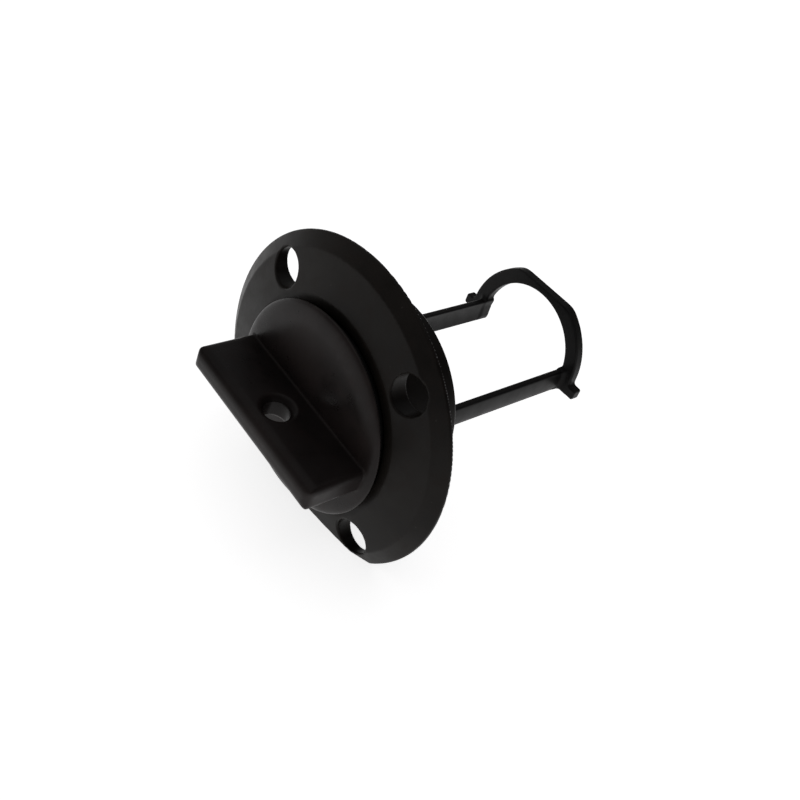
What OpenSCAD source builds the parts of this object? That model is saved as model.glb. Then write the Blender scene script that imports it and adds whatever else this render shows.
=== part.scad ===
// Screw-in drain socket for a small boat, with a captive bung.
// The axis of the fitting lies along Y. The front of the fitting (the thumb bar)
// faces -Y, and the back face of the flange, which beds on the hull, is the plane
// Y = 0. The short straight edge of the flange is at the bottom (-Z).
// All sizes are in millimetres.

/* [Flange] */
// Outside diameter of the flange
flange_d = 48; // [46:0.5:60]
// Thickness of the thin wall round the flange's edge
flange_edge = 0.5; // [0.4:0.1:1.5]
// Height of the shoulder where the edge bevel meets the sloping face
flange_shoulder = 1.9; // [1.4:0.1:2.2]
// Width of the edge bevel, measured across the radius
flange_bevel = 2.2; // [1:0.1:2.5]
// Height of the raised seat in the middle of the flange
seat_h = 3.1; // [2.6:0.1:3.4]
// Outside diameter of the raised seat
seat_d = 32; // [31.6:0.2:33.2]
// Distance from the axis to the straight edge at the bottom
flat_dist = 16.8; // [16.6:0.1:20]

/* [Screw holes] */
// Diameter of the circle that the screw holes lie on
hole_pcd = 38.6; // [38:0.2:40]
// Diameter of each screw hole
hole_d = 5.5; // [4:0.1:5.6]
// Number of screw holes
hole_count = 4; // [2:1:6]

/* [Barrel] */
// Outside diameter of the barrel that passes through the hull
barrel_d = 29.8; // [29.4:0.1:31]
// Length of the barrel behind the flange
barrel_l = 9.7; // [9:0.1:12]
// Diameter across the crests of the internal thread
bore_d = 25; // [24.9:0.1:25.4]
// Depth of the internal thread
bore_thread_depth = 0.55; // [0.3:0.05:0.7]
// Axial pitch of the thread
pitch = 3; // [2:0.25:3.5]

/* [Bung] */
// Outside diameter of the cap
cap_d = 30.6; // [30:0.2:31.6]
// Diameter of the flat middle of the cap
cap_flat_d = 24.5; // [22:0.5:26]
// Height of the cap's flat face above the hull face of the flange
cap_h = 5.3; // [5.2:0.1:5.6]
// Gap between the cap and the seat when the bung is home
cap_gap = 1.1; // [0.9:0.05:1.2]
// Diameter of the shank under its thread
shank_d = 23.6; // [23.5:0.1:23.8]
// Depth of the shank's thread
shank_thread_depth = 0.5; // [0.3:0.05:0.5]
// Diameter of the hollow inside the shank
shank_bore_d = 21.7; // [21.6:0.1:21.9]
// Diameter of the opening through the lip at the shank's end
lip_d = 20.6; // [20.5:0.1:20.8]

/* [Thumb bar] */
// Length of the thumb bar
bar_l = 28.2; // [24:0.2:29]
// Thickness of the thumb bar
bar_t = 4.25; // [3.5:0.05:5]
// Distance from the hull face of the flange to the front of the thumb bar
bar_h = 14.4; // [13:0.05:15.5]
// Radius of the thumb bar's two front corners
bar_corner = 1.4; // [1:0.1:3]
// Radius of the thumb bar's four upright edges
bar_end_r = 1.2; // [0.4:0.1:2]
// Radius of the thumb bar's long front edges
bar_nose_r = 1.8; // [0.5:0.1:2]
// Diameter of the lanyard hole
lanyard_d = 3.8; // [3:0.1:4]
// Depth of the countersink at each end of the lanyard hole
lanyard_sink = 1.05; // [0.3:0.05:1.2]
// Distance of the lanyard hole from the hull face of the flange
lanyard_h = 9.9; // [9.5:0.1:10.2]
// Angle at which the thumb bar rests when the bung is screwed home
bar_rest = 3.2; // [-10:0.2:10]

/* [Seal ring] */
// Thickness of the seal ring's round section
seal_t = 1.8; // [1.6:0.1:1.8]
// Diameter of the circle through the middle of the seal ring's section
seal_mid_d = 26.3; // [26.1:0.1:26.5]

/* [Keeper] */
// Distance from the hull face of the flange to the keeper's far end
keeper_end = 41; // [36:0.5:50]
// Outside radius of the keeper's two arms
arm_r = 10.15; // [10:0.05:10.15]
// Thickness of each arm
arm_t = 1.08; // [0.8:0.02:1.3]
// Width of each arm
arm_w = 3.93; // [3:0.01:5]
// Thickness of the half ring and lugs, along the axis
hoop_t = 1.66; // [1.2:0.02:2.4]
// Outside radius of the half ring
hoop_r = 11.75; // [11:0.05:12]
// Inside radius of the half ring
hoop_in_r = 9.3; // [8.8:0.05:9.6]
// Height of the half ring's centre above the axis
hoop_up = 0.8; // [0:0.1:1.2]
// Height of the short straight on top of the half ring
hoop_flat = 11.25; // [10.6:0.05:12]
// Distance from the axis to the tip of each lug
lug_r = 13.4; // [13:0.1:14]
// Width of each lug
lug_w = 1.8; // [1.2:0.1:2.6]

/* [Hidden] */
$fn = 96;

flange_r = flange_d / 2;
barrel_r = barrel_d / 2;
bore_r = bore_d / 2;
cap_r = cap_d / 2;
cap_flat_r = cap_flat_d / 2;
shank_r = shank_d / 2;
counterbore_r = seal_mid_d / 2 + seal_t / 2 + 0.3;
seal_y = -(seat_h + cap_gap) + seal_t / 2 + 0.1;
counterbore_y = seal_y + seal_t / 2 + 0.3;
cap_under = -(seat_h + cap_gap);
shank_end = barrel_l - 0.5;
lip_t = 0.8;
collar_y0 = -1.7;
collar_y1 = -0.4;
collar_r = shank_bore_d / 2 - 0.15;
socket_thread_y0 = 1.6;
bung_thread_y0 = 0.4;
socket_turns = floor((barrel_l - 0.6 - socket_thread_y0) / pitch);
bung_turns = floor((shank_end - 0.6 - bung_thread_y0) / pitch);

// Turns a profile drawn as [radius, y] about the Y axis.
module lathe(profile) {
  rotate([-90, 0, 0]) rotate_extrude() polygon([for (p = profile) [p[0], p[1]]]);
}

// A plain tube about Y from y0 to y1.
module tube(r_out, r_in, y0, y1) {
  lathe([[r_in, y0], [r_out, y0], [r_out, y1], [r_in, y1]]);
}

// A rectangle with rounded corners, made of squares and circles, centred on the origin.
module round_rect(w, h, r) {
  square([w - 2 * r, h], center = true);
  square([w, h - 2 * r], center = true);
  for (i = [-1, 1], j = [-1, 1])
    translate([i * (w / 2 - r), j * (h / 2 - r)]) circle(r);
}

// One thread ridge as four [radius, y] points: up, along the crest, down.
function ridge(y, root, crest, p) = [
  [root, y - 0.40 * p / 2 - 0.12 * p], [crest, y - 0.10 * p],
  [crest, y + 0.10 * p], [root, y + 0.40 * p / 2 + 0.12 * p]];

// The flange, the raised seat and the barrel, in section.
module socket_blank() {
  root = bore_r + bore_thread_depth;
  lathe(concat(
    [[counterbore_r, -seat_h], [seat_d / 2, -seat_h],
     [flange_r - flange_bevel, -flange_shoulder],
     [flange_r, -flange_edge], [flange_r, 0], [barrel_r, 0],
     [barrel_r, barrel_l - 0.3], [barrel_r - 0.3, barrel_l],
     [root + 0.1, barrel_l]],
    [for (i = [socket_turns - 1 : -1 : 0])
      for (q = [3 : -1 : 0]) ridge(socket_thread_y0 + pitch * (i + 0.5), root, bore_r, pitch)[q]],
    [[root, counterbore_y], [counterbore_r, counterbore_y]]));
}

module socket() color([0.13, 0.13, 0.135])
  difference() {
    socket_blank();
    // screw holes
    for (i = [0 : hole_count - 1])
      rotate([0, 45 + 360 / hole_count * i, 0])
        translate([hole_pcd / 2, 5, 0]) rotate([90, 0, 0]) cylinder(d = hole_d, h = 20, $fn = 48);
    // straight edge at the bottom
    translate([-50, -10, -flat_dist - 50]) cube([100, 20, 50]);
  }

// The thumb bar: rounded in elevation, in plan and along its front edges.
module thumb_bar() {
  mid = (bar_h + cap_h - 1) / 2;
  high = bar_h - cap_h + 1;
  intersection() {
    translate([0, -mid, -bar_t / 2]) linear_extrude(height = bar_t)
      union() {
        round_rect(bar_l, high, bar_corner);
        translate([-bar_l / 2, 0]) square([bar_l, high / 2]);
      }
    translate([0, -cap_h + 2, 0]) rotate([90, 0, 0]) linear_extrude(height = 20)
      round_rect(bar_l, bar_t, bar_end_r);
    rotate([90, 0, 90]) translate([-mid, 0, -30]) linear_extrude(height = 60)
      union() {
        round_rect(high, bar_t, bar_nose_r);
        translate([0, -bar_t / 2]) square([high / 2, bar_t]);
      }
  }
}

// The cap, its hollow threaded shank and the inner lip, in section.
module cap_and_shank() {
  crest = shank_r + shank_thread_depth;
  lathe(concat(
    [[0, -cap_h], [cap_flat_r, -cap_h], [cap_r - 1.6, -cap_h + 0.12],
     [cap_r - 0.7, -cap_h + 0.34], [cap_r - 0.2, -cap_h + 0.62], [cap_r, cap_under - 0.16],
     [cap_r - 0.16, cap_under], [shank_r, cap_under]],
    [for (i = [0 : bung_turns - 1])
      for (q = [0 : 3]) ridge(bung_thread_y0 + pitch * (i + 0.5), shank_r, crest, pitch)[q]],
    [[shank_r, shank_end - 0.3], [shank_r - 0.3, shank_end],
     [lip_d / 2, shank_end], [lip_d / 2, shank_end - lip_t],
     [shank_bore_d / 2, shank_end - lip_t], [shank_bore_d / 2, -2.1], [0, -2.1]]));
}

module bung() color([0.15, 0.14, 0.14])
  difference() {
    union() {
      cap_and_shank();
      rotate([0, bar_rest, 0]) thumb_bar();
    }
    // lanyard hole, across the thumb bar, countersunk from both sides
    rotate([0, bar_rest, 0]) translate([0, -lanyard_h, 0]) {
      translate([0, 0, -10]) cylinder(d = lanyard_d, h = 20, $fn = 48);
      for (i = [0, 1]) mirror([0, 0, i])
        translate([0, 0, bar_t / 2 - lanyard_sink])
          cylinder(r1 = lanyard_d / 2, r2 = lanyard_d / 2 + 2 * lanyard_sink * 0.9, h = 2 * lanyard_sink, $fn = 48);
    }
  }

module o_ring() color([0.05, 0.05, 0.05])
  translate([0, seal_y, 0]) rotate([90, 0, 0]) rotate_extrude()
    translate([seal_mid_d / 2, 0]) circle(d = seal_t, $fn = 32);

// The half ring at the far end, drawn in the XZ plane.
module hoop_shape() {
  difference() {
    union() {
      intersection() {
        translate([0, hoop_up]) difference() { circle(hoop_r); circle(hoop_in_r); }
        translate([-20, -arm_w / 4]) square([40, 20 + arm_w / 4]);
      }
      // lugs that catch behind the barrel
      for (i = [-1, 1])
        translate([i > 0 ? arm_r - 0.8 : -lug_r, -lug_w + 0.5]) square([lug_r - arm_r + 0.8, lug_w]);
    }
    translate([-20, hoop_flat]) square([40, 20]);
  }
}

module keeper() color([0.11, 0.11, 0.115]) {
  // collar that the shank turns on
  tube(collar_r, arm_r - arm_t - 0.2, collar_y0, collar_y1);
  // two arms, cut from one thin tube
  intersection() {
    tube(arm_r, arm_r - arm_t, collar_y1 - 0.6, keeper_end);
    translate([-20, -5, -arm_w / 2]) cube([40, keeper_end + 10, arm_w]);
  }
  // half ring and lugs
  translate([0, keeper_end, 0]) rotate([90, 0, 0]) linear_extrude(height = hoop_t) hoop_shape();
}

socket();
bung();
o_ring();
keeper();
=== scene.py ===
import math

import bpy
import numpy as np
from mathutils import Matrix, Vector


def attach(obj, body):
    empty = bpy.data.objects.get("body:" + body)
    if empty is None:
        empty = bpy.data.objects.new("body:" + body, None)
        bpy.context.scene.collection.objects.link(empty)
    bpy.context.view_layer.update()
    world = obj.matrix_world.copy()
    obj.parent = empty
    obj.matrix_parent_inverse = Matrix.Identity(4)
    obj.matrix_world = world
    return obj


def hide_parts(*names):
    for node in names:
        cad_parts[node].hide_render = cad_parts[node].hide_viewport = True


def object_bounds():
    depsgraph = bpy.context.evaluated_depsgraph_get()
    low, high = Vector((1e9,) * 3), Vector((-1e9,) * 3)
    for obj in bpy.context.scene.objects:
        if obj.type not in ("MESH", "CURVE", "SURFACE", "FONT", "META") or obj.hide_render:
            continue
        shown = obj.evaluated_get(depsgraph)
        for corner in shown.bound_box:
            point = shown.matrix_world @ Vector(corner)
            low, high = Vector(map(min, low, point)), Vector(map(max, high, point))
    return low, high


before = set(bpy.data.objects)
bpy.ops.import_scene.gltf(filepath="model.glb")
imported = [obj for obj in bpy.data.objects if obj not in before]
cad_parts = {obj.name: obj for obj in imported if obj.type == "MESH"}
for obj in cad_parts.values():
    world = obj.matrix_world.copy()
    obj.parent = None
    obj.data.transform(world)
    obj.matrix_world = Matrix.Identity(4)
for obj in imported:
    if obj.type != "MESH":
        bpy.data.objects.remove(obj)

cad_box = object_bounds()
MM = 0.001

# --------------------------------------------------------------------------
# Sizes, in millimetres, the same as the CAD part's
# --------------------------------------------------------------------------
FLANGE_R, EDGE, SHOULDER, BEVEL = 24.0, 0.5, 1.9, 2.2
SEAT_H, SEAT_R, FLAT = 3.1, 16.0, 16.8
HOLE_PCR, HOLE_R = 19.3, 2.75
BARREL_R, BARREL_L, BORE_R, BORE_THREAD, PITCH = 14.9, 9.7, 12.5, 0.55, 3.0
SEAL_MID, SEAL_R = 13.15, 0.9
CAP_R, CAP_FLAT, CAP_H, CAP_UNDER = 15.3, 12.25, 5.3, -4.2
SEAL_Y = CAP_UNDER + SEAL_R + 0.1
COUNTER_R, COUNTER_Y = SEAL_MID + SEAL_R + 0.3, SEAL_Y + SEAL_R + 0.3
SHANK_R, SHANK_THREAD, HOLLOW_R, LIP_R, SHANK_END = 11.8, 0.5, 10.85, 10.3, 9.2
BAR_L, BAR_T, BAR_H, BAR_TURN = 28.2, 4.25, 14.4, math.radians(3.2)
LANYARD_R, LANYARD_H = 1.9, 9.9
KEEP_END, ARM_R, ARM_T, ARM_W, HOOP_T = 41.0, 10.15, 1.08, 3.93, 1.66
HOOP_R, HOOP_IN, HOOP_UP, HOOP_FLAT = 11.75, 9.3, 0.8, 11.25
LUG_R = 13.4


# --------------------------------------------------------------------------
# Distance fields
# --------------------------------------------------------------------------
def smin(a, b, k):
    h = np.maximum(k - np.abs(a - b), 0) / k
    return np.minimum(a, b) - h * h * k / 4


def smax(a, b, k):
    h = np.maximum(k - np.abs(a - b), 0) / k
    return np.maximum(a, b) + h * h * k / 4


def step01(a, b, v):
    t = np.clip((v - a) / (b - a), 0, 1)
    return t * t * (3 - 2 * t)


def fillet(points, radii, n=6):
    """A closed outline with each corner turned into an arc of its radius."""
    out = []
    m = len(points)
    for i in range(m):
        p0, p1, p2 = (np.array(points[(i + d) % m], float) for d in (-1, 0, 1))
        r = radii[i]
        if r <= 0:
            out.append(p1)
            continue
        u, v = p0 - p1, p2 - p1
        lu, lv = np.linalg.norm(u), np.linalg.norm(v)
        u, v = u / lu, v / lv
        half = math.acos(max(-1, min(1, float(u @ v)))) / 2
        cut = min(r / math.tan(half), 0.48 * lu, 0.48 * lv)
        r = cut * math.tan(half)
        c = p1 + (u + v) / np.linalg.norm(u + v) * (r / math.sin(half))
        a0 = math.atan2(*(p1 + u * cut - c)[::-1])
        a1 = math.atan2(*(p1 + v * cut - c)[::-1])
        d = (a1 - a0 + math.pi) % (2 * math.pi) - math.pi
        for k in range(n + 1):
            a = a0 + d * k / n
            out.append(c + r * np.array([math.cos(a), math.sin(a)]))
    return np.array(out)


def outline_sd(px, py, poly):
    """Signed distance to a closed outline, negative inside."""
    best = np.full(px.shape, 1e9)
    inside = np.zeros(px.shape, bool)
    m = len(poly)
    for i in range(m):
        ax, ay = poly[i - 1]
        bx, by = poly[i]
        ex, ey = bx - ax, by - ay
        wx, wy = px - ax, py - ay
        ll = ex * ex + ey * ey
        if ll < 1e-12:
            continue
        t = np.clip((wx * ex + wy * ey) / ll, 0, 1)
        dx, dy = wx - ex * t, wy - ey * t
        best = np.minimum(best, dx * dx + dy * dy)
        cross = ((ay > py) != (by > py)) & (px < ex * (py - ay) / (ey if ey else 1e-12) + ax)
        inside ^= cross
    return np.where(inside, -1, 1) * np.sqrt(best)


def box2(px, py, hx, hy, r):
    qx, qy = np.abs(px) - hx + r, np.abs(py) - hy + r
    return np.hypot(np.maximum(qx, 0), np.maximum(qy, 0)) + np.minimum(np.maximum(qx, qy), 0) - r


def thread_wave(y, theta, pitch):
    """0 at the root and 1 on the crest of a rounded trapezoid thread, right-handed."""
    ph = (y / pitch - theta / (2 * math.pi)) % 1.0
    return step01(0.10, 0.36, 0.5 - np.abs(ph - 0.5))


SOCKET_OUT = fillet(
    [(-1, -SEAT_H), (SEAT_R, -SEAT_H), (FLANGE_R - BEVEL, -SHOULDER), (FLANGE_R, -EDGE), (FLANGE_R, 0),
     (BARREL_R, 0), (BARREL_R, BARREL_L), (-1, BARREL_L)],
    [0, 0.9, 0.6, 0.30, 0.18, 0.45, 0.35, 0],
)


def socket_f(x, y, z):
    r = np.hypot(x, z)
    th = np.arctan2(z, x)
    f = outline_sd(r, y, SOCKET_OUT)
    f = smax(f, -smax(r - COUNTER_R, y - COUNTER_Y, 0.3), 0.3)
    amp = step01(0.9, 2.4, y) * (1 - step01(8.7, 9.6, y))
    bore = BORE_R + BORE_THREAD - BORE_THREAD * amp * thread_wave(y, th, PITCH)
    f = smax(f, (bore - r) * 0.85, 0.2)
    for k in range(4):
        a = math.radians(45 + 90 * k)
        d = np.hypot(x - HOLE_PCR * math.cos(a), z - HOLE_PCR * math.sin(a))
        f = smax(f, HOLE_R - d, 0.35)
    return smax(f, -z - FLAT, 0.22)


def cap_outline():
    pts = [(-1, -CAP_H), (CAP_FLAT - 0.2, -CAP_H)]
    for k in range(1, 17):
        t = math.radians(90 * k / 16)
        pts.append((CAP_FLAT - 0.2 + (CAP_R - CAP_FLAT + 0.2) * math.sin(t), -CAP_H + 0.9 * (1 - math.cos(t))))
    pts += [(CAP_R - 0.02, CAP_UNDER - 0.14), (CAP_R - 0.14, CAP_UNDER), (-1, CAP_UNDER)]
    return np.array(pts)


CAP_OUT = cap_outline()


def bung_f(x, y, z):
    r = np.hypot(x, z)
    th = np.arctan2(z, x)
    cap = outline_sd(r, y, CAP_OUT)
    amp = step01(0.3, 1.5, y) * (1 - step01(7.9, 8.9, y))
    shank = r - (SHANK_R + SHANK_THREAD * amp * thread_wave(y + 1.5, th, PITCH))
    shank = smax(shank * 0.85, np.maximum(y - SHANK_END, CAP_UNDER - 0.5 - y), 0.3)
    f = smin(cap, shank, 0.35)
    inner = np.where(y > SHANK_END - 0.8, r - LIP_R, r - HOLLOW_R)
    inner = smin(smax(r - HOLLOW_R, np.maximum(y - (SHANK_END - 0.8), -2.1 - y), 0.3),
                 smax(r - LIP_R, np.maximum(y - 20, -y), 0.01), 0.12)
    f = smax(f, -inner, 0.15)
    c, s = math.cos(BAR_TURN), math.sin(BAR_TURN)
    bx, bz = x * c - z * s, x * s + z * c
    mid, half = -(BAR_H + CAP_H - 1) / 2, (BAR_H - CAP_H + 1) / 2
    big = half + 3
    yb = y - (mid + 3)
    bar = smax(smax(box2(bx, yb, BAR_L / 2, big, 1.45), box2(bx, bz, BAR_L / 2, BAR_T / 2, 1.25), 0.25),
               box2(yb, bz, big, BAR_T / 2, 1.85), 0.25)
    bar = np.maximum(bar, y + CAP_H - 1.2)
    f = smin(f, bar, 0.3)
    d = np.hypot(bx, y + LANYARD_H)
    flare = LANYARD_R + 0.85 * (np.clip(np.abs(bz) - 1.15, 0, 1.2) / 0.975) ** 1.6
    return smax(f, np.minimum(flare - d, 4 - np.abs(bz)) * 0.85, 0.18)


def keeper_f(x, y, z):
    r = np.hypot(x, z)
    # arms, with a fine step along the outer face's lower edge
    outer = ARM_R - 0.16 * step01(-1.05, -1.30, z)
    arm = smax(smax(r - outer, (ARM_R - ARM_T) - r, 0.25), np.abs(z) - ARM_W / 2, 0.3)
    arm = smax(arm, np.maximum(y - KEEP_END, -1.0 - y), 0.2)
    ring = smax(np.hypot(x, z - HOOP_UP) - HOOP_R, HOOP_IN - np.hypot(x, z - HOOP_UP), 0.3)
    ring = smax(smax(ring, z - HOOP_FLAT, 0.5), -z - ARM_W / 4, 0.3)
    lug = box2(np.abs(x) - (LUG_R + 9.35) / 2, z + 0.4, (LUG_R - 9.35) / 2, 0.9, 0.35)
    flat = smin(ring, lug, 0.7)
    mid = KEEP_END - HOOP_T / 2
    flat = smax(flat, np.abs(y - mid) - HOOP_T / 2, 0.3)
    f = smin(arm, flat, 0.9)
    f = np.maximum(f, y - KEEP_END)
    collar = smax(smax(r - 10.70, 8.87 - r, 0.2), np.abs(y + 1.05) - 0.65, 0.2)
    return smin(f, collar, 0.3)


# --------------------------------------------------------------------------
# Turning a distance field into a mesh of even quads
# --------------------------------------------------------------------------
def nets(f, lo, hi, step):
    lo, hi = np.array(lo, float) - 1.5 * step, np.array(hi, float) + 1.5 * step
    B = 8
    nb = np.ceil((hi - lo) / step / B).astype(int)
    n = nb * B
    bc = [lo[i] + step * (np.arange(nb[i]) * B + (B - 1) / 2) for i in range(3)]
    cx, cy, cz = np.meshgrid(*bc, indexing="ij")
    fc = f(cx, cy, cz)
    V = np.repeat(np.repeat(np.repeat(fc, B, 0), B, 1), B, 2).astype(np.float32)
    near = np.argwhere(np.abs(fc) < (B * 0.5 * step * 1.7321 + step) * 1.35)
    off = np.stack(np.meshgrid(*[np.arange(B)] * 3, indexing="ij"), -1).reshape(-1, 3)
    for part in np.array_split(near, max(1, len(near) // 1500)):
        g = (part[:, None, :] * B + off[None]).reshape(-1, 3)
        p = lo + g * step
        V[g[:, 0], g[:, 1], g[:, 2]] = f(p[:, 0], p[:, 1], p[:, 2])
    S = V < 0
    cnt = np.zeros(tuple(n - 1), np.int8)
    for i in (0, 1):
        for j in (0, 1):
            for k in (0, 1):
                cnt += S[i:n[0] - 1 + i, j:n[1] - 1 + j, k:n[2] - 1 + k]
    mixed = (cnt > 0) & (cnt < 8)
    cells = np.argwhere(mixed)
    idx = np.full(mixed.shape, -1, np.int64)
    idx[mixed] = np.arange(len(cells))
    corner = np.array([(i, j, k) for i in (0, 1) for j in (0, 1) for k in (0, 1)])
    cv = np.stack([V[cells[:, 0] + c[0], cells[:, 1] + c[1], cells[:, 2] + c[2]] for c in corner], 1)
    acc, num = np.zeros((len(cells), 3)), np.zeros(len(cells))
    for a in range(8):
        for b in range(a + 1, 8):
            if np.abs(corner[a] - corner[b]).sum() != 1:
                continue
            va, vb = cv[:, a], cv[:, b]
            cross = (va < 0) != (vb < 0)
            t = np.where(cross, va / np.where(cross, va - vb, 1), 0)
            acc += cross[:, None] * (corner[a] + t[:, None] * (corner[b] - corner[a]))
            num += cross
    P = lo + (cells + acc / num[:, None]) * step
    P0 = P.copy()
    e = 0.02

    def grad(p):
        g = np.empty_like(p)
        for i in range(3):
            q = p.copy(); q[:, i] += e
            a = f(q[:, 0], q[:, 1], q[:, 2])
            q[:, i] -= 2 * e
            g[:, i] = (a - f(q[:, 0], q[:, 1], q[:, 2])) / (2 * e)
        return g

    for _ in range(3):
        v = f(P[:, 0], P[:, 1], P[:, 2])
        g = grad(P)
        P = P - g * (v / np.maximum((g * g).sum(1), 0.2))[:, None]
        move = P - P0
        far = np.linalg.norm(move, axis=1)
        P = P0 + move * np.minimum(1, 0.8 * step / np.maximum(far, 1e-9))[:, None]
    N = grad(P)
    N /= np.maximum(np.linalg.norm(N, axis=1), 1e-9)[:, None]
    h = 0.22
    lap = -6 * f(P[:, 0], P[:, 1], P[:, 2])
    for i in range(3):
        for sgn in (-h, h):
            q = P.copy(); q[:, i] += sgn
            lap += f(q[:, 0], q[:, 1], q[:, 2])
    lap /= h * h
    faces = []
    for ax in range(3):
        o1, o2 = [(1, 2), (2, 0), (0, 1)][ax]
        sl0 = [slice(1, n[i] - 1) for i in range(3)]
        sl1 = list(sl0)
        sl0[ax], sl1[ax] = slice(0, n[ax] - 1), slice(1, n[ax])
        A, C = S[tuple(sl0)], S[tuple(sl1)]
        for flip, sel in ((False, A & ~C), (True, ~A & C)):
            g = np.argwhere(sel)
            g += np.array([0 if i == ax else 1 for i in range(3)])
            q = []
            for d1, d2 in ((-1, -1), (0, -1), (0, 0), (-1, 0)):
                c = g.copy(); c[:, o1] += d1; c[:, o2] += d2
                q.append(idx[c[:, 0], c[:, 1], c[:, 2]])
            q = np.stack(q if not flip else q[::-1], 1)
            faces.append(q)
    faces = np.concatenate(faces)
    return P, N, lap, faces


def solid(name, f, lo, hi, step, body, node, collection=None):
    P, N, lap, F = nets(f, lo, hi, step)
    me = bpy.data.meshes.new(name)
    me.vertices.add(len(P))
    me.vertices.foreach_set("co", (P * MM).astype(np.float32).ravel())
    me.loops.add(len(F) * 4)
    me.loops.foreach_set("vertex_index", F.astype(np.int32).ravel())
    me.polygons.add(len(F))
    me.polygons.foreach_set("loop_start", np.arange(0, len(F) * 4, 4, dtype=np.int32))
    me.update(calc_edges=True)
    me.validate()
    me.polygons.foreach_set("use_smooth", np.ones(len(me.polygons), bool))
    attr = me.attributes.new("edge", "FLOAT", "POINT")
    attr.data.foreach_set("value", np.clip(lap * 0.22, -1, 1).astype(np.float32))
    me.normals_split_custom_set_from_vertices([tuple(v) for v in N])
    o = bpy.data.objects.new(name, me)
    bpy.context.scene.collection.objects.link(o)
    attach(o, body)
    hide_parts(node)
    return o


def seal_ring(name):
    me = bpy.data.meshes.new(name)
    nu, nv = 192, 28
    vs, ns, fs = [], [], []
    for i in range(nu):
        a = 2 * math.pi * i / nu
        for j in range(nv):
            b = 2 * math.pi * j / nv
            # a fine parting line stands along the inside and outside
            rr = SEAL_R - 0.02 + 0.02 * math.exp(-(math.sin(b) / 0.10) ** 2)
            rad = SEAL_MID + rr * math.cos(b)
            vs.append((rad * math.cos(a) * MM, (SEAL_Y + rr * math.sin(b)) * MM, rad * math.sin(a) * MM))
    for i in range(nu):
        for j in range(nv):
            a, b = i * nv + j, i * nv + (j + 1) % nv
            c, d = ((i + 1) % nu) * nv + (j + 1) % nv, ((i + 1) % nu) * nv + j
            fs.append((a, b, c, d))
    me.from_pydata(vs, [], fs)
    me.polygons.foreach_set("use_smooth", np.ones(len(me.polygons), bool))
    me.update()
    attr = me.attributes.new("edge", "FLOAT", "POINT")
    o = bpy.data.objects.new(name, me)
    bpy.context.scene.collection.objects.link(o)
    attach(o, "seal")
    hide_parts("o_ring")
    return o


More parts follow.
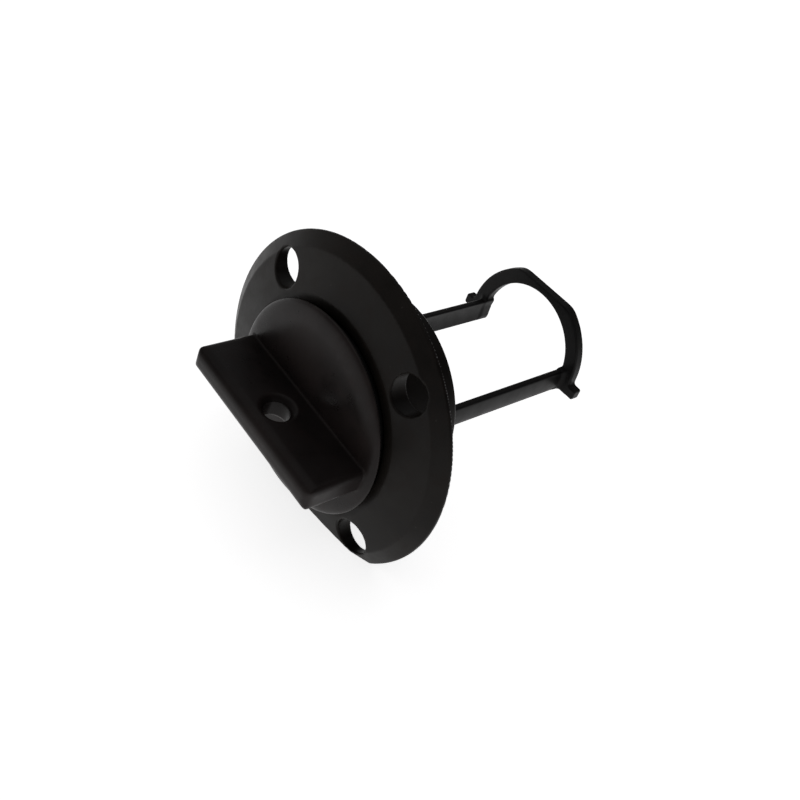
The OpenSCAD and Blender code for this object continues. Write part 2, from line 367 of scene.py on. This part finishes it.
# --------------------------------------------------------------------------
# Materials
# --------------------------------------------------------------------------
def material(name, base, rough, grain, grain_h, warm=(1, 1, 1), wear_and_highlight=0.5, dust=0.5, specular=0.5, seed=0.0, flow=(1, 1, 1)):
    """Moulded plastic: sparked grain, slow mottling, fine scuffs, worn edges painted paler (partly real wear, partly
    a painted edge highlight) and a little dust.
    """
    m = bpy.data.materials.new(name)
    m.use_nodes = True
    nt = m.node_tree
    nt.nodes.clear()
    N, L = nt.nodes, nt.links
    out = N.new("ShaderNodeOutputMaterial")
    bs = N.new("ShaderNodeBsdfPrincipled")
    L.new(bs.outputs["BSDF"], out.inputs["Surface"])
    bs.inputs["Specular IOR Level"].default_value = specular
    bs.inputs["IOR"].default_value = 1.5
    co = N.new("ShaderNodeTexCoord")
    place = N.new("ShaderNodeMapping")
    place.inputs["Location"].default_value = (seed, seed * 0.7, -seed * 0.4)
    L.new(co.outputs["Object"], place.inputs["Vector"])
    vec = place.outputs["Vector"]

    def noise(scale, detail=3, rough_=0.55, v=None, distortion=0.0):
        n = N.new("ShaderNodeTexNoise")
        n.inputs["Scale"].default_value = scale
        n.inputs["Detail"].default_value = detail
        n.inputs["Roughness"].default_value = rough_
        n.inputs["Distortion"].default_value = distortion
        L.new(v or vec, n.inputs["Vector"])
        return n.outputs["Fac"]

    def ramp(v, a, b, lo=0.0, hi=1.0):
        r = N.new("ShaderNodeMapRange")
        r.interpolation_type = "SMOOTHSTEP"
        r.inputs["From Min"].default_value = a
        r.inputs["From Max"].default_value = b
        r.inputs["To Min"].default_value = lo
        r.inputs["To Max"].default_value = hi
        L.new(v, r.inputs["Value"])
        return r.outputs["Result"]

    def math_(op, a, b):
        n = N.new("ShaderNodeMath")
        n.operation = op
        for i, v in enumerate((a, b)):
            if isinstance(v, (int, float)):
                n.inputs[i].default_value = v
            else:
                L.new(v, n.inputs[i])
        return n.outputs[0]

    def mix(fac, a, b):
        n = N.new("ShaderNodeMix")
        n.data_type = "RGBA"
        for key, v in (("Factor", fac), ("A", a), ("B", b)):
            sock = [s for s in n.inputs if s.name == key and (s.type == ("VALUE" if key == "Factor" else "RGBA"))][0]
            if isinstance(v, tuple):
                sock.default_value = (*v, 1)
            elif isinstance(v, (int, float)):
                sock.default_value = v
            else:
                L.new(v, sock)
        return [s for s in n.outputs if s.type == "RGBA"][0]

    slow = noise(95, 3)
    mid = noise(520, 4, 0.6)
    fine = noise(grain, 2, 0.5)
    dark = tuple(c * 0.74 for c in base)
    light = tuple(c * 1.38 for c in base)
    tint = tuple(c * w for c, w in zip(base, warm))
    col = mix(ramp(slow, 0.32, 0.68), dark, light)
    col = mix(ramp(mid, 0.45, 0.75, 0, 0.55), col, tint)
    # worn, paler convex edges: partly real wear, partly a painted edge highlight
    ed = N.new("ShaderNodeAttribute")
    ed.attribute_name = "edge"
    worn_edge_and_highlight = math_("MULTIPLY", ramp(ed.outputs["Fac"], 0.16, 0.75), ramp(mid, 0.34, 0.66, 0.25, 1.0))
    # convex edges are painted paler here, part wear and part painted highlight
    col = mix(math_("MULTIPLY", worn_edge_and_highlight, 0.30 * wear_and_highlight), col, tuple(min(1, c * 3.4 + 0.02) for c in base))
    # fine scuffs that run mostly one way
    sc = N.new("ShaderNodeMapping")
    sc.inputs["Scale"].default_value = flow
    sc.inputs["Rotation"].default_value = (0.3 + seed, 0.5, 0.2 + seed)
    L.new(vec, sc.inputs["Vector"])
    scuff = math_("MULTIPLY", ramp(noise(900, 2, 0.4, sc.outputs["Vector"]), 0.60, 0.80), ramp(noise(140, 2), 0.52, 0.66))
    # dust caught in the grain and the corners
    speck = ramp(noise(1700, 1, 0.3), 0.76, 0.86)
    low = ramp(ed.outputs["Fac"], -0.14, -0.6)
    dusty = math_("MULTIPLY", math_("ADD", math_("MULTIPLY", speck, 0.55), math_("MULTIPLY", low, 0.35)), dust)
    col = mix(math_("MINIMUM", dusty, 0.35), col, (0.17, 0.16, 0.145))
    L.new(col, bs.inputs["Base Color"])
    ro = ramp(mid, 0.25, 0.75, rough - 0.06, rough + 0.07)
    ro = math_("ADD", ro, math_("MULTIPLY", scuff, 0.03))
    ro = math_("SUBTRACT", ro, math_("MULTIPLY", worn_edge_and_highlight, 0.09 * wear_and_highlight))
    ro = math_("ADD", ro, math_("MULTIPLY", ramp(slow, 0.3, 0.7), 0.05))
    ro = math_("ADD", ro, math_("MULTIPLY", low, 0.32))
    L.new(ro, bs.inputs["Roughness"])
    # height: slow sinks and grain, in metres
    h = math_("MULTIPLY", fine, grain_h)
    h = math_("ADD", h, math_("MULTIPLY", noise(grain * 0.42, 3, 0.55), grain_h * 1.2))
    h = math_("ADD", h, math_("MULTIPLY", noise(130, 2), 0.000040))
    b = N.new("ShaderNodeBump")
    b.inputs["Strength"].default_value = 1.0
    b.inputs["Distance"].default_value = 1.0
    L.new(h, b.inputs["Height"])
    L.new(b.outputs["Normal"], bs.inputs["Normal"])
    return m


MAT = {
    "socket": material("socket_plastic", (0.0080, 0.0067, 0.0058), 0.34, 2600, 0.0000042, warm=(1.22, 1.0, 0.90), wear_and_highlight=0.22, dust=0.12, seed=0.0, flow=(1, 7, 1), specular=0.085),
    "bung": material("bung_plastic", (0.0120, 0.0094, 0.0090), 0.30, 2900, 0.0000036, warm=(1.22, 0.98, 0.96), wear_and_highlight=0.6, dust=0.06, seed=1.3, flow=(1, 1, 9), specular=0.11),
    "keeper": material("keeper_plastic", (0.0062, 0.0060, 0.0060), 0.36, 3000, 0.0000036, warm=(1.12, 1.0, 0.96), wear_and_highlight=0.5, dust=0.10, seed=2.9, flow=(7, 1, 1), specular=0.09),
    "seal": material("seal_rubber", (0.0055, 0.0055, 0.0056), 0.58, 3600, 0.0000050, wear_and_highlight=0.2, dust=0.8, specular=0.2, seed=4.1),
}

# --------------------------------------------------------------------------
# Pieces
# --------------------------------------------------------------------------
K = 1.0
socket = solid("socket_moulding", socket_f, (-24, -3.1, -16.8), (24, 9.7, 24), 0.25 * K, "socket", "socket")
bung = solid("bung_moulding", bung_f, (-15.3, -14.4, -15.3), (15.3, 9.2, 15.3), 0.22 * K, "bung", "bung")
keeper = solid("keeper_moulding", keeper_f, (-13.4, -1.7, -10.7), (13.4, 41, 11.3), 0.20 * (1.0), "keeper", "keeper")
seal = seal_ring("seal_ring")
for o, key in ((socket, "socket"), (bung, "bung"), (keeper, "keeper"), (seal, "seal")):
    o.data.materials.append(MAT[key])


# --------------------------------------------------------------------------
# Floor, light and camera
# --------------------------------------------------------------------------
def floor():
    me = bpy.data.meshes.new("floor")
    s = 3.0
    me.from_pydata([(-s, -s, 0), (s, -s, 0), (s, s, 0), (-s, s, 0)], [], [(0, 1, 2, 3)])
    o = bpy.data.objects.new("floor", me)
    o.location = (0, 0, cad_box[0][2] - 0.00002)
    bpy.context.scene.collection.objects.link(o)
    m = bpy.data.materials.new("floor_white")
    m.use_nodes = True
    bs = m.node_tree.nodes["Principled BSDF"]
    bs.inputs["Base Color"].default_value = (0.93, 0.93, 0.93, 1)
    bs.inputs["Roughness"].default_value = 0.9
    bs.inputs["Specular IOR Level"].default_value = 0.1
    bs.inputs["Emission Color"].default_value = (1, 1, 1, 1)
    bs.inputs["Emission Strength"].default_value = 0.80
    me.materials.append(m)
    return o


floor()

world = bpy.data.worlds.new("studio")
bpy.context.scene.world = world
world.use_nodes = True
wt = world.node_tree
wc = wt.nodes.new("ShaderNodeTexCoord")
ws = wt.nodes.new("ShaderNodeSeparateXYZ")
wr = wt.nodes.new("ShaderNodeValToRGB")
# bright at the horizon like the table's far edge, dim overhead
wr.color_ramp.elements[0].position = 0.50
wr.color_ramp.elements[0].color = (0.50, 0.49, 0.48, 1)
wr.color_ramp.elements[1].position = 0.78
wr.color_ramp.elements[1].color = (0.060, 0.058, 0.062, 1)
wm = wt.nodes.new("ShaderNodeMath")
wm.operation = "MULTIPLY_ADD"
wm.inputs[1].default_value = 0.5
wm.inputs[2].default_value = 0.5
wt.links.new(wc.outputs["Generated"], ws.inputs["Vector"])
wt.links.new(ws.outputs["Z"], wm.inputs[0])
wt.links.new(wm.outputs[0], wr.inputs["Fac"])
wt.links.new(wr.outputs["Color"], wt.nodes["Background"].inputs["Color"])
wt.nodes["Background"].inputs["Strength"].default_value = 1.0

CAM = Vector((69.003, -77.924, 87.199)) * MM
RIGHT = Vector((0.605915, 0.740373, 0.291058))
UP = Vector((-0.643979, 0.241671, 0.72587))
BACK = Vector((0.467074, -0.62725, 0.623217))


def area(name, right, up, back, dist, size, power, target=(0, 0.01, 0)):
    """A soft square light, placed by how far right, up and towards the camera it stands."""
    d = (RIGHT * right + UP * up + BACK * back).normalized()
    t = Vector(target)
    li = bpy.data.lights.new(name, "AREA")
    li.shape = "SQUARE"
    li.size = size
    li.energy = power
    o = bpy.data.objects.new(name, li)
    o.location = t + d * dist
    o.rotation_euler = (-d).to_track_quat("-Z", "Y").to_euler()
    bpy.context.scene.collection.objects.link(o)
    return o


area("fill_top", 0.1, 1.0, 0.5, 0.6, 1.1, 1.6)

cam_data = bpy.data.cameras.new("camera")
cam = bpy.data.objects.new("camera", cam_data)
bpy.context.scene.collection.objects.link(cam)
cam_data.sensor_width = 36.0
cam_data.lens = 964.0 / 800.0 * 36.0
cam_data.clip_start = 0.005
cam_data.clip_end = 20
cam.matrix_world = Matrix((
    (RIGHT.x, UP.x, BACK.x, CAM.x),
    (RIGHT.y, UP.y, BACK.y, CAM.y),
    (RIGHT.z, UP.z, BACK.z, CAM.z),
    (0, 0, 0, 1),
))
bpy.context.scene.camera = cam
bpy.context.scene.view_settings.view_transform = "Standard"
